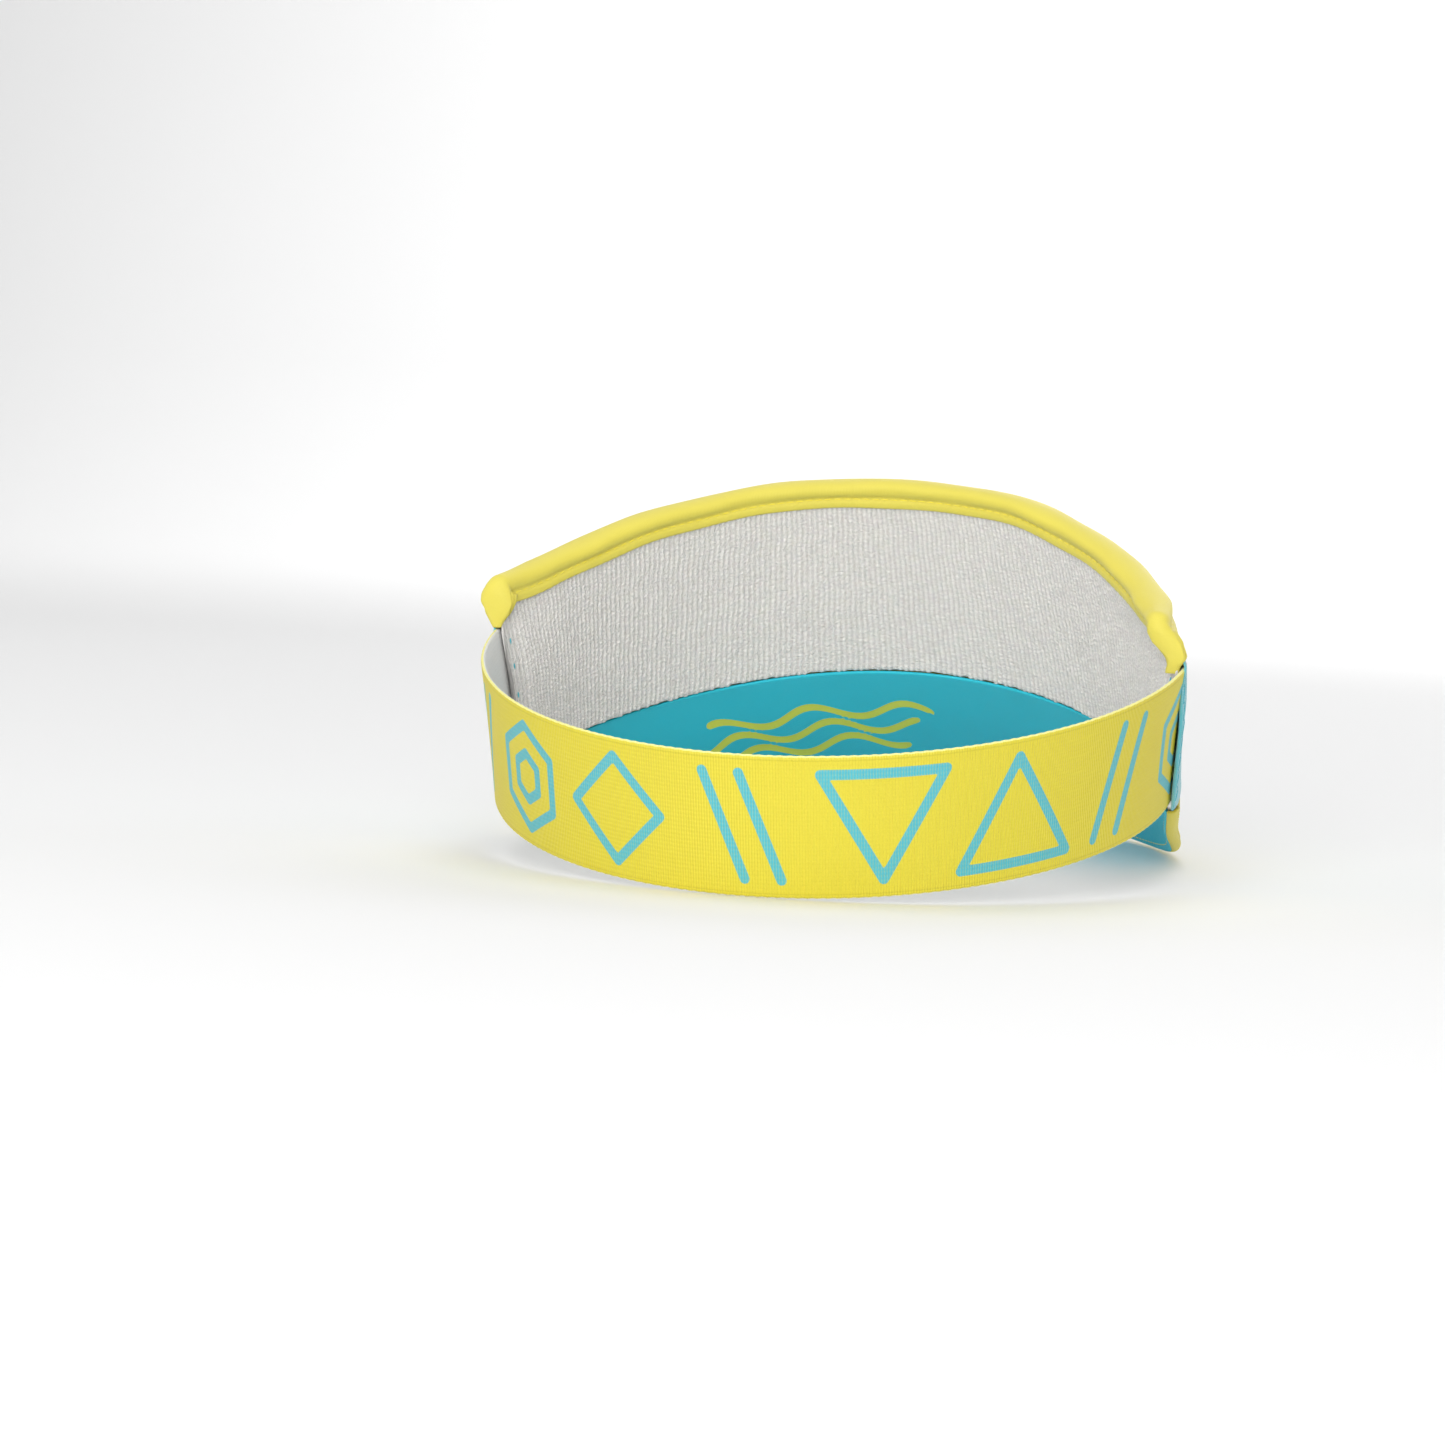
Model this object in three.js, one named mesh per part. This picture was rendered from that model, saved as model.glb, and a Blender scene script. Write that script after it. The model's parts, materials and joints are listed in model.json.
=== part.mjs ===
// A running visor: a stiffened front crown with a curved bill, closed at the back by a wide elastic
// band. Millimetres. The head ring is laid out in a frame of its own, with +X to the wearer's right,
// +Y towards the bill and z = 0 at the lower edge of the band. The last section tips that ring back
// until the visor stands by itself on the band's lower edge and the bill's rim.
import * as THREE from 'three';
import { mergeVertices } from 'three/addons/utils/BufferGeometryUtils.js';

// Head ring, to the outer face of the band
const ringHalfWidth = 85;
const ringBackDepth = 89.5;
const ringFrontDepth = 86.5;
const ringFlare = THREE.MathUtils.degToRad(2.9);

// Elastic back band
const bandHeight = 35;
const bandThickness = 1.5;
const bandBackDip = 1.2;
const bandTuck = 5;
const bandEndLength = 15;
const bandSteps = 57;

// Crown wall
const crownSideHeight = 48.3;
const crownFrontHeight = 61.9;
const crownFrontLean = 17.5;
const crownFrontNarrowing = 0.19;
const crownArch = 7.2;
const crownArchPower = 2.8;
const crownRiseCurve = [-0.18, 2.85, -1.67];
const crownLeanBow = 0.19;
const shellThickness = 0.8;
const shellOverlap = 2;
const interliningThickness = 1.6;
const interliningMargin = 6;
const interliningEnd = THREE.MathUtils.degToRad(12);
const terryThickness = 2.2;
const wallSteps = 56;

// Top binding: a tape folded over the wall's top edge and down its two end edges
const bindingTape = 0.9;
const bindingRoll = 5.5;
const bindingStrip = 2.3;
const bindingEndSetback = 1;
const bindingCorner = 5;
const bindingEndClearance = 2;

// Bill
const billLength = 70;
const billSlope = THREE.MathUtils.degToRad(44.5);
const billEnd = THREE.MathUtils.degToRad(4);
const billCornerFullness = 2.4;
const billSideFullness = 2.1;
const billBoardThickness = 1.8;
const billCoverThickness = 0.6;
const billHem = 3;
const billSteps = 44;

// Sewing thread
const threadDiameter = 0.6;
const seamStitch = 3;
const seamThreadWidth = 2.4;

// Clearances
const gap = 0.3;
const tuckClearance = 0.9;
const billClearance = 0.6;

// Offsets of the crown's layers from the outer face of the band, outwards positive
const shellInner = tuckClearance;
const shellOuter = shellInner + shellThickness;
const terryOuter = -bandThickness - tuckClearance;
const terryInner = terryOuter - terryThickness;
const wallMiddle = (shellInner + terryOuter) / 2;

// A closed panel: a box, finely divided along and across, whose every point goes to
// place(along, across, through), each of them running from 0 to 1
function bentPanel(place, along, across) {
  const box = new THREE.BoxGeometry(1, 1, 1, along, across, 1);
  box.deleteAttribute('normal');
  box.deleteAttribute('uv');
  const points = box.attributes.position;
  for (let i = 0; i < points.count; i++) {
    const bent = place(points.getX(i) + 0.5, points.getY(i) + 0.5, points.getZ(i) + 0.5);
    points.setXYZ(i, bent.x, bent.y, bent.z);
  }
  return mergeVertices(box);
}

// A round thread laid along route(u), u from 0 to 1
class ThreadRoute extends THREE.Curve {
  constructor(route) {
    super();
    this.route = route;
  }

  getPoint(u, target = new THREE.Vector3()) {
    return target.copy(this.route(u));
  }
}

function laidThread(route, steps) {
  const section = new THREE.Shape(new THREE.EllipseCurve(
    0, 0, threadDiameter / 2, threadDiameter / 2, 0, 2 * Math.PI,
  ).getPoints(5).slice(0, 5));
  const extrudePath = new ThreadRoute(route);
  return new THREE.ExtrudeGeometry(section, { steps, extrudePath, bevelEnabled: false });
}

const model = new THREE.Group();
const ring = new THREE.Group();
model.add(ring);

function addPart(name, geometry, color, roughness) {
  const material = new THREE.MeshStandardMaterial({ color, roughness, metalness: 0 });
  const mesh = new THREE.Mesh(geometry, material);
  mesh.name = name;
  ring.add(mesh);
}

const yellow = 0xefe04e;
const teal = 0x33a6b8;
const terryGrey = 0xd6d4d1;
const white = 0xf4f4f0;

// Half width of the ring at a height on the band
function halfWidthAt(z) {
  return ringHalfWidth + (z - bandHeight / 2) * Math.tan(ringFlare);
}

// The back half of the ring. turn runs from -PI at the left seam to 0 at the right seam.
function bandPoint(turn, height, offset) {
  const flareStep = halfWidthAt(height) - ringHalfWidth;
  const dip = bandBackDip * Math.sin(turn);
  return new THREE.Vector3(
    (ringHalfWidth + flareStep + offset) * Math.cos(turn),
    (ringBackDepth + flareStep + offset) * Math.sin(turn),
    height + dip,
  );
}

// The front half of the ring, a ruled wall from an arched lower edge to a higher, leaning top edge.
// turn runs from 0 at the right seam to PI at the left seam, and a little past both.
function frontness(turn) {
  return Math.max(Math.sin(turn), 0);
}

function lowerEdgeHeight(turn) {
  return crownArch * frontness(turn) ** crownArchPower;
}

// The rise from side to front follows a cubic in frontness, whose coefficients add up to 1
function topEdgeHeight(turn) {
  const f = frontness(turn);
  const share = crownRiseCurve.reduce((sum, coefficient, i) => sum + coefficient * f ** (i + 1), 0);
  return THREE.MathUtils.lerp(crownSideHeight, crownFrontHeight, share);
}

function wallPoint(turn, height, offset) {
  const f = frontness(turn);
  const low = lowerEdgeHeight(turn);
  const share = (height - low) / (topEdgeHeight(turn) - low);
  const lowHalfWidth = halfWidthAt(0);
  const topHalfWidth = halfWidthAt(crownSideHeight) * (1 - crownFrontNarrowing * f);
  const lean = crownFrontLean * f * (1 + crownLeanBow * (1 - f));
  const outward = new THREE.Vector2(Math.cos(turn) / ringHalfWidth, Math.sin(turn) / ringFrontDepth);
  outward.normalize().multiplyScalar(offset);
  return new THREE.Vector3(
    THREE.MathUtils.lerp(lowHalfWidth, topHalfWidth, share) * Math.cos(turn) + outward.x,
    ringFrontDepth * Math.sin(turn) - lean * share + outward.y,
    height,
  );
}

// The turn at a distance forward of the side seams
function turnAt(forward) {
  return Math.asin(forward / ringFrontDepth);
}

// Steps along the front from a turn at the right side to the same turn at the left side
function frontTurns(start, steps) {
  return Array.from({ length: steps + 1 }, (_, i) => start + (Math.PI - 2 * start) * i / steps);
}

// Top binding, in cross-section a narrow arch with two straight legs that straddle the wall
const bindingHalfWidth = (shellOuter - terryInner) / 2 + gap + bindingTape / 2;
const bindingMiddle = (shellOuter + terryInner) / 2;
const bindingLeg = bindingRoll + bindingStrip;
const archSteps = 6;

// The crest's stations from the right end to the left: up the end edge, round the corner and along
// the top. swing is how far the legs are turned from hanging straight down.
const crest = [];
for (const side of [1, -1]) {
  const end = [];
  const endTurn = turnAt(-bindingEndSetback);
  end.push({ turn: endTurn, height: bandHeight + bindingEndClearance, swing: Math.PI / 2 });
  for (const swing of [90, 60, 30].map(THREE.MathUtils.degToRad)) {
    const forward = bindingCorner * (1 - Math.sin(swing)) - bindingEndSetback;
    const drop = bindingCorner * (1 - Math.cos(swing));
    end.push({ turn: turnAt(forward), height: crownSideHeight - drop, swing });
  }
  if (side === 1) {
    crest.push(...end);
    for (const turn of frontTurns(turnAt(bindingCorner - bindingEndSetback), wallSteps)) {
      crest.push({ turn, height: topEdgeHeight(turn), swing: 0 });
    }
  } else {
    for (const { turn, height, swing } of end.reverse()) {
      crest.push({ turn: Math.PI - turn, height, swing: -swing });
    }
  }
}

// A point of the tape: around runs from the outer leg's hem over the arch to the inner leg's hem
function bindingPoint(along, around, through) {
  const station = crest[Math.round(along * (crest.length - 1))];
  const step = Math.round(around * (archSteps + 2));
  const angle = Math.PI * THREE.MathUtils.clamp(step - 1, 0, archSteps) / archSteps;
  const radius = bindingHalfWidth + (through - 0.5) * bindingTape;
  const onLeg = step === 0 || step === archSteps + 2;
  const depth = onLeg ? bindingLeg : bindingHalfWidth + bindingTape / 2 - radius * Math.sin(angle);
  const turn = station.turn + Math.sin(station.swing) * depth / ringFrontDepth;
  const height = station.height - Math.cos(station.swing) * depth;
  return wallPoint(turn, height, bindingMiddle + radius * Math.cos(angle));
}

addPart('top_binding', bentPanel(bindingPoint, crest.length - 1, archSteps + 2), yellow, 0.55);

// Crown wall: shell outside, interlining, terry inside. Each layer's top edge stops inside the
// binding's arch. Its end drops to the band's upper edge behind the binding's end leg.
const wallTopDrop = bindingHalfWidth + bindingTape / 2 + gap;
const wallStep = wallTopDrop - bindingEndSetback;
const wallStepWidth = 1;

function wallTop(turn) {
  const forward = ringFrontDepth * Math.sin(turn);
  const share = THREE.MathUtils.clamp((forward - wallStep) / wallStepWidth, 0, 1);
  return THREE.MathUtils.lerp(bandHeight, topEdgeHeight(turn) - wallTopDrop, share);
}

function wallLayer(turns, lift, inner, outer) {
  const steps = turns.length - 1;
  return bentPanel((along, up, through) => {
    const turn = turns[Math.round(along * steps)];
    const low = lowerEdgeHeight(turn) + lift;
    const height = THREE.MathUtils.lerp(low, wallTop(turn), up);
    return wallPoint(turn, height, THREE.MathUtils.lerp(inner, outer, through));
  }, steps, 1);
}

// Stations along a layer that reaches back past the side seams, with its end steps
function layerTurns(reachBack) {
  const ends = [-reachBack, wallStep, wallStep + wallStepWidth].map(turnAt);
  const middle = frontTurns(turnAt(wallStep + 3 * wallStepWidth), wallSteps);
  return [...ends, ...middle, ...ends.map((turn) => Math.PI - turn).reverse()];
}

const shellTurns = layerTurns(shellOverlap);
addPart('crown_shell', wallLayer(shellTurns, gap, shellInner, shellOuter), teal, 0.8);
const terryTurns = layerTurns(shellOverlap / 2);
addPart('terry_sweatband', wallLayer(terryTurns, 0, terryInner, terryOuter), terryGrey, 1);
const interliningTurns = frontTurns(interliningEnd, wallSteps);
const interlining = wallLayer(
  interliningTurns, interliningMargin,
  wallMiddle - interliningThickness / 2, wallMiddle + interliningThickness / 2,
);
addPart('crown_interlining', interlining, white, 0.9);

// Elastic band: one strap in use, here its two sewn ends and the stretching length between them
const bandEndTurn = bandEndLength / ringBackDepth;
const bandEndSteps = 8;

function bandEndPoint(along, up, through) {
  const back = THREE.MathUtils.lerp(-bandEndLength, bandTuck, along);
  const offset = -bandThickness * (1 - through);
  if (back < 0) return bandPoint(back / ringBackDepth, up * bandHeight, offset);
  return wallPoint(turnAt(back), up * bandHeight, offset);
}

function mirroredBandEndPoint(along, up, through) {
  const point = bandEndPoint(1 - along, up, through);
  point.x = -point.x;
  return point;
}

addPart('elastic_end_right', bentPanel(bandEndPoint, bandEndSteps, 1), yellow, 0.75);
addPart('elastic_end_left', bentPanel(mirroredBandEndPoint, bandEndSteps, 1), yellow, 0.75);
const bandStart = bandEndTurn + gap / ringBackDepth;
const band = bentPanel((along, up, through) => bandPoint(
  THREE.MathUtils.lerp(bandStart - Math.PI, -bandStart, along),
  up * bandHeight,
  -bandThickness * (1 - through),
), bandSteps, 1);
addPart('elastic_band', band, yellow, 0.75);

// Bill: a board bent to a cylinder whose straight lines run forward and down at the bill's slope.
// Its root follows the wall's lower edge, and its upper face clears that edge all the way along.
// lift is measured from the middle of the board, upwards.
const billStack = billBoardThickness / 2 + gap + billCoverThickness;
const billRun = new THREE.Vector3(0, Math.cos(billSlope), -Math.sin(billSlope));

function billRoot(turn) {
  return new THREE.Vector3(
    (halfWidthAt(0) + wallMiddle) * Math.cos(turn),
    (ringFrontDepth + wallMiddle) * Math.sin(turn),
    lowerEdgeHeight(turn) - billClearance - billStack * frontness(turn),
  );
}

const nudge = 1e-4;

function rootTangent(turn) {
  return billRoot(turn + nudge).sub(billRoot(turn - nudge)).divideScalar(2 * nudge);
}

function billNormal(turn) {
  return new THREE.Vector3().crossVectors(billRun, rootTangent(turn)).normalize();
}

// A place on the bill's surface is a turn along its root and a reach from there. The rim is a full
// oval, and its sweep runs from 0 to PI.
function rimPlace(sweep) {
  const c = Math.cos(sweep);
  const halfSpan = Math.PI / 2 - billEnd;
  const turn = Math.PI / 2 - halfSpan * Math.sign(c) * Math.abs(c) ** (2 / billSideFullness);
  return { turn, reach: billLength * Math.sin(sweep) ** (2 / billCornerFullness) };
}

function surfacePoint({ turn, reach }) {
  return billRoot(turn).addScaledVector(billRun, reach);
}

// The place that lies inset from the rim, square to it, along the bill's surface
function insetPlace(sweep, inset) {
  const rim = rimPlace(sweep);
  const rimTangent = surfacePoint(rimPlace(sweep + nudge)).sub(surfacePoint(rimPlace(sweep - nudge)));
  const outward = rimTangent.cross(billNormal(rim.turn)).normalize();
  const tangent = rootTangent(rim.turn);
  const slant = tangent.dot(billRun);
  const across = tangent.addScaledVector(billRun, -slant);
  const turnStep = outward.dot(across) / across.lengthSq();
  const reachStep = outward.dot(billRun) - turnStep * slant;
  return { turn: rim.turn - inset * turnStep, reach: rim.reach - inset * reachStep };
}

// All sheets of the bill share their stations, and start where the bill is long enough for its hem
const hemInset = billStack + billHem;
const shortestReach = hemInset + 2;

function billSweep(along) {
  const shortest = Math.asin((shortestReach / billLength) ** (billCornerFullness / 2));
  return THREE.MathUtils.lerp(shortest, Math.PI - shortest, along);
}

function billPoint(sweep, forward, lift, inset) {
  const rootTurn = Math.PI / 2 - (Math.PI / 2 - billEnd) * Math.cos(sweep);
  const rim = insetPlace(sweep, inset);
  const turn = THREE.MathUtils.lerp(rootTurn, rim.turn, forward);
  return surfacePoint({ turn, reach: rim.reach * forward }).addScaledVector(billNormal(turn), lift);
}

function billSheet(inset, middle, thickness) {
  return bentPanel((along, forward, through) => billPoint(
    billSweep(along), forward, middle + (0.5 - through) * thickness, inset,
  ), billSteps, 4);
}

const boardInset = 1.4;
const coverLift = billStack - billCoverThickness / 2;
addPart('bill_board', billSheet(boardInset, 0, billBoardThickness), white, 0.7);
const underCover = billSheet(hemInset + gap, -coverLift, billCoverThickness);
addPart('bill_under_cover', underCover, teal, 0.8);

// The top cover runs over the board, round its rim and a hem's width back under it
const topSteps = 4;
const rimSteps = 4;

function topCoverPoint(along, around, through) {
  const sweep = billSweep(along);
  const step = Math.round(around * (topSteps + rimSteps + 1));
  const thick = (0.5 - through) * billCoverThickness;
  if (step <= topSteps) return billPoint(sweep, step / topSteps, coverLift + thick, billStack);
  if (step > topSteps + rimSteps) return billPoint(sweep, 1, -coverLift - thick, hemInset);
  const angle = Math.PI * (step - topSteps) / rimSteps;
  const radius = coverLift + thick;
  const inset = billStack - radius * Math.sin(angle);
  return billPoint(sweep, 1, radius * Math.cos(angle), inset);
}

const topCover = bentPanel(topCoverPoint, billSteps, topSteps + rimSteps + 1);
addPart('bill_top_cover', topCover, yellow, 0.6);

// Sewing threads, each one run of stitching
const threadRadius = threadDiameter / 2;
const onFace = gap + threadRadius;

function bindingThreadRoute(u) {
  const turn = THREE.MathUtils.lerp(interliningEnd / 2, Math.PI - interliningEnd / 2, u);
  const offset = bindingMiddle - bindingHalfWidth - bindingTape / 2 - onFace;
  return wallPoint(turn, topEdgeHeight(turn) - bindingRoll, offset);
}

function billSeamThreadRoute(u) {
  const turn = THREE.MathUtils.lerp(interliningEnd, Math.PI - interliningEnd, u);
  return wallPoint(turn, lowerEdgeHeight(turn) + interliningMargin / 2, wallMiddle);
}

function billEdgeThreadRoute(u) {
  return billPoint(billSweep(u), 1, -billStack - onFace, billStack + billHem / 2);
}

addPart('binding_thread', laidThread(bindingThreadRoute, wallSteps), yellow, 0.6);
addPart('bill_seam_thread', laidThread(billSeamThreadRoute, wallSteps), white, 0.6);
addPart('bill_edge_thread', laidThread(billEdgeThreadRoute, billSteps * 2), yellow, 0.6);

// The side seams are closed by a zigzag stitch down the shell's outer face
const zigzagSteps = 16;

function seamThreadRoute(u) {
  const swing = Math.abs(((u * zigzagSteps) % 2) - 1) - 0.5;
  const margin = 2 * seamStitch / 3;
  const height = THREE.MathUtils.lerp(margin, bandHeight - margin, u);
  return wallPoint(turnAt(seamStitch + swing * seamThreadWidth), height, shellOuter + onFace);
}

const seamThread = laidThread(seamThreadRoute, zigzagSteps * 2);
addPart('right_seam_thread', seamThread, teal, 0.6);
const mirrored = laidThread((u) => seamThreadRoute(u).multiply(new THREE.Vector3(-1, 1, 1)), zigzagSteps * 2);
addPart('left_seam_thread', mirrored, teal, 0.6);

// Tip the ring back until the lowest point of the bill's rim is level with the band's lower edge,
// and stand it on z = 0 with the middle of its footprint at the origin
const heel = bandPoint(-Math.PI / 2, 0, 0);
let tilt = 0;
const rimCorners = topCover.attributes.position;
const corner = new THREE.Vector3();
for (let i = 0; i < rimCorners.count; i++) {
  corner.fromBufferAttribute(rimCorners, i).sub(heel);
  tilt = Math.max(tilt, Math.atan2(-corner.z, corner.y));
}
ring.rotation.x = tilt;
const bounds = new THREE.Box3().setFromObject(model, true);
const middle = bounds.getCenter(new THREE.Vector3());
ring.position.set(-middle.x, -middle.y, -bounds.min.z);

export default model;
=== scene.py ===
import json
import math

import bpy
import numpy as np
from mathutils import Matrix, Vector


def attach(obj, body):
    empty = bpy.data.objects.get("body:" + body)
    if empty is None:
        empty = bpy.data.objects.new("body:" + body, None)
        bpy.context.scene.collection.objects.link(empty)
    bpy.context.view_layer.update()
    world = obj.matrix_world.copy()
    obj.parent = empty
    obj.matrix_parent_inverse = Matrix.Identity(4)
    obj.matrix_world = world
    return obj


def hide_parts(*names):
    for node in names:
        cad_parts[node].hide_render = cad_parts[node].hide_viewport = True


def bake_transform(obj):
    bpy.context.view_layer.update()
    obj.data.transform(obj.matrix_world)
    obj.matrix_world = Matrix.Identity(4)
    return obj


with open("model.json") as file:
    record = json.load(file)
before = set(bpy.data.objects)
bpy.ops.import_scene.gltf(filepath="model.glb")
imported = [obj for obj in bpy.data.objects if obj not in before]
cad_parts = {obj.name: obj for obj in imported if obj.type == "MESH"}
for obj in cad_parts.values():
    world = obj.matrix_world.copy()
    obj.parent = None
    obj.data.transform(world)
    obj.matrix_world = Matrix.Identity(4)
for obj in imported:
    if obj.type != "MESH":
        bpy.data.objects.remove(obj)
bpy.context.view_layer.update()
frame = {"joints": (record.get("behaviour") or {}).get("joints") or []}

# ---------------------------------------------------------------------------------------------
# The head ring. Crown and strap make one ring round the head, and the visor stands with that ring
# tipped back. Sizes below are in millimetres in the ring's own frame: x to the wearer's right, y
# towards the bill, z = 0 at the strap's lower edge. The joints say where that frame lies.
joints = {joint["name"]: joint for joint in frame["joints"]}
rearwards = joints["band_stretch"]["axis"]
ring_tilt = math.atan2(-rearwards[2], -rearwards[1])
side_seam = Vector((0, 3, 17.5))
ring_turned = Matrix.Rotation(ring_tilt, 4, "X") @ Matrix.Scale(0.001, 4)
ring_middle = Vector(joints["band_swing"]["pos_m"]) - ring_turned @ side_seam
ring_to_row = Matrix.Translation(ring_middle) @ ring_turned

ring_half_width = 85.0
ring_back_depth = 89.5
ring_front_depth = 86.5
ring_flare = math.tan(math.radians(2.9))
strap_height = 35.0
strap_back_dip = 1.2
left_seam_spread = -1.8
right_seam_spread = 2.0
left_end_lean = -0.9
right_end_lean = -6.4


def in_row(points):
    """Points of the ring's frame, in millimetres, as places in the row's frame, in metres."""
    matrix = np.array(ring_to_row)
    return points @ matrix[:3, :3].T + matrix[:3, 3]


def half_width_at(height):
    return ring_half_width + (height - strap_height / 2) * ring_flare


def smooth(value, start, end):
    share = np.clip((value - start) / (end - start), 0, 1)
    return share * share * (3 - 2 * share)


def side_drift(turn, height):
    """The worn ring isn't quite even: at the side seams its top has spread outwards, and above the
    strap the crown's right end leans in while its left end leans out."""
    spread = (np.clip(height, 0, strap_height) / strap_height) ** 2
    above = smooth(height, strap_height - 1, strap_height + 12)
    left = left_seam_spread * spread + left_end_lean * above
    right = right_seam_spread * spread + right_end_lean * above
    near_seam = (1 - np.abs(np.sin(turn))) ** 2
    return near_seam * np.where(np.cos(turn) > 0, right, left)


def back_of_ring(turn, height, offset):
    """The back half of the ring: turn runs from -pi at the left side seam to 0 at the right one."""
    flared = half_width_at(height) + offset
    depth = ring_back_depth - ring_half_width + flared
    dip = strap_back_dip * np.sin(turn)
    drift = side_drift(turn, height)
    return np.stack([flared * np.cos(turn) + drift, depth * np.sin(turn), height + dip], -1)


# ---------------------------------------------------------------------------------------------
# Camera and studio. The visor is seen from behind, a little above and to its right, through a
# long lens. The floor sweeps up behind it into a plain backdrop, all in one pale tone.
view_turn = math.radians(14)
view_rise = math.radians(15.97)
view_roll = math.radians(0.39)
view_distance = 1200.0
view_centre = Vector((0, 0, 20))
aim_across = -27.7
aim_up = -4.0

away = Vector((
    math.sin(view_turn) * math.cos(view_rise),
    -math.cos(view_turn) * math.cos(view_rise),
    math.sin(view_rise),
))
level = Vector((math.cos(view_turn), math.sin(view_turn), 0))
upright = away.cross(level)
across = level * math.cos(view_roll) - upright * math.sin(view_roll)
up = level * math.sin(view_roll) + upright * math.cos(view_roll)
eye = ring_to_row @ (view_centre + away * view_distance)
aim = ring_to_row @ (view_centre + across * aim_across + up * aim_up)
look = (aim - eye).normalized()
rightwards = look.cross(ring_turned.to_3x3() @ up).normalized()
upwards = rightwards.cross(look)

bpy.ops.object.camera_add(location=eye)
camera = bpy.context.object
camera.name = "camera"
turned = Matrix((rightwards, upwards, -look)).transposed()
camera.rotation_euler = turned.to_euler()
camera.data.sensor_width = 36
camera.data.lens = 120.65
bpy.context.scene.camera = camera
bpy.context.scene.view_settings.view_transform = "Standard"

floor_size = 8.0
backdrop_distance = 3.0
backdrop_height = 3.0
backdrop_sweep = 1.5
close_by = 0.01
bpy.ops.mesh.primitive_plane_add(size=floor_size, location=(0, backdrop_distance - floor_size / 2, 0))
floor = bpy.context.object
floor.name = "floor"
bpy.ops.object.transform_apply(location=True)
bpy.ops.object.mode_set(mode="EDIT")
bpy.ops.mesh.select_mode(type="EDGE")
bpy.ops.mesh.select_all(action="DESELECT")
bpy.ops.object.mode_set(mode="OBJECT")
for edge in floor.data.edges:
    ends = [floor.data.vertices[i].co.y for i in edge.vertices]
    edge.select = min(ends) > backdrop_distance - close_by
bpy.ops.object.mode_set(mode="EDIT")
bpy.ops.mesh.extrude_region_move(TRANSFORM_OT_translate={"value": (0, 0, backdrop_height)})
bpy.ops.object.mode_set(mode="OBJECT")
for edge in floor.data.edges:
    ends = [floor.data.vertices[i].co for i in edge.vertices]
    edge.select = all(end.y > backdrop_distance - close_by and end.z < close_by for end in ends)
bpy.ops.object.mode_set(mode="EDIT")
bpy.ops.mesh.bevel(offset=backdrop_sweep, segments=16)
bpy.ops.object.mode_set(mode="OBJECT")
bpy.ops.object.shade_smooth()

floor_paint = bpy.data.materials.new("floor_paint")
floor_paint.use_nodes = True
floor_shader = floor_paint.node_tree.nodes["Principled BSDF"]
floor_shader.inputs["Base Color"].default_value = (0.88, 0.88, 0.88, 1)
floor_shader.inputs["Roughness"].default_value = 0.9
floor_shader.inputs["Specular IOR Level"].default_value = 0.1
floor.data.materials.append(floor_paint)

light_target = (0, 0, 0.04)
backdrop_target = (0, 3.2, 0.6)
studio_lights = [
    ("softbox_key", (0.1, -1.4, 0.42), 1.0, 16.5, light_target),
    ("softbox_above", (-0.1, -0.1, 1.5), 1.4, 8, light_target),
    ("softbox_right", (1.4, 0.9, 0.5), 0.8, 4, light_target),
    ("softbox_left", (-1.5, 0.2, 0.6), 0.8, 2, light_target),
    ("softbox_front", (0.2, 1.5, 0.9), 1.2, 6, light_target),
    ("backdrop_light", (0, 1.7, 1.5), 1.6, 24, backdrop_target),
]
for light_name, light_place, light_size, light_power, lit_place in studio_lights:
    bpy.ops.object.light_add(type="AREA", location=light_place)
    softbox = bpy.context.object
    softbox.name = light_name
    softbox.data.size = light_size
    softbox.data.energy = light_power
    softbox.rotation_euler = (Vector(lit_place) - softbox.location).to_track_quat("-Z", "Y").to_euler()

world = bpy.data.worlds.new("studio_air")
bpy.context.scene.world = world
world.use_nodes = True
world.node_tree.nodes["Background"].inputs["Color"].default_value = (1, 1, 1, 1)
world.node_tree.nodes["Background"].inputs["Strength"].default_value = 0.38

# ---------------------------------------------------------------------------------------------
# Elastic strap. One length of 35 mm woven elastic, yellow outside and white inside, printed with
# a row of outlined shapes. Its two ends are sewn into the side seams, between shell and terry.
strap_thickness = 1.1
strap_tuck = 2.2
strap_columns = 470
strap_outer_rows = 56
strap_inner_rows = 10
selvedge_scallop = 0.07
selvedge_pitch = 2.4
# Width of the pale line at both edges, a painted highlight on the edge's thickness.
edge_highlight_width = 0.3
selvedge_line_inset = 1.1
selvedge_line_half = 0.16
edge_steps = 4
motif_height = 26.0
motif_pitch = 34.0
motif_stroke = 2.5
motif_count = 9
slash_lean = 5.0
slash_gap = 4.5
inner_hexagon = 0.45

# The front half of the ring is a ruled wall from an arched lower edge to a higher, leaning top
# edge. turn runs from 0 at the right side seam to pi at the left one.
crown_side_height = 48.3
crown_front_height = 61.9
crown_front_lean = 17.5
crown_front_narrowing = 0.19
crown_arch = 7.2
crown_arch_power = 2.8
crown_rise_curve = (-0.18, 2.85, -1.67)
crown_lean_bow = 0.19


def lower_edge(turn):
    return crown_arch * np.maximum(np.sin(turn), 0) ** crown_arch_power


def top_edge(turn):
    front = np.maximum(np.sin(turn), 0)
    share = sum(step * front ** (i + 1) for i, step in enumerate(crown_rise_curve))
    return crown_side_height + (crown_front_height - crown_side_height) * share


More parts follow.
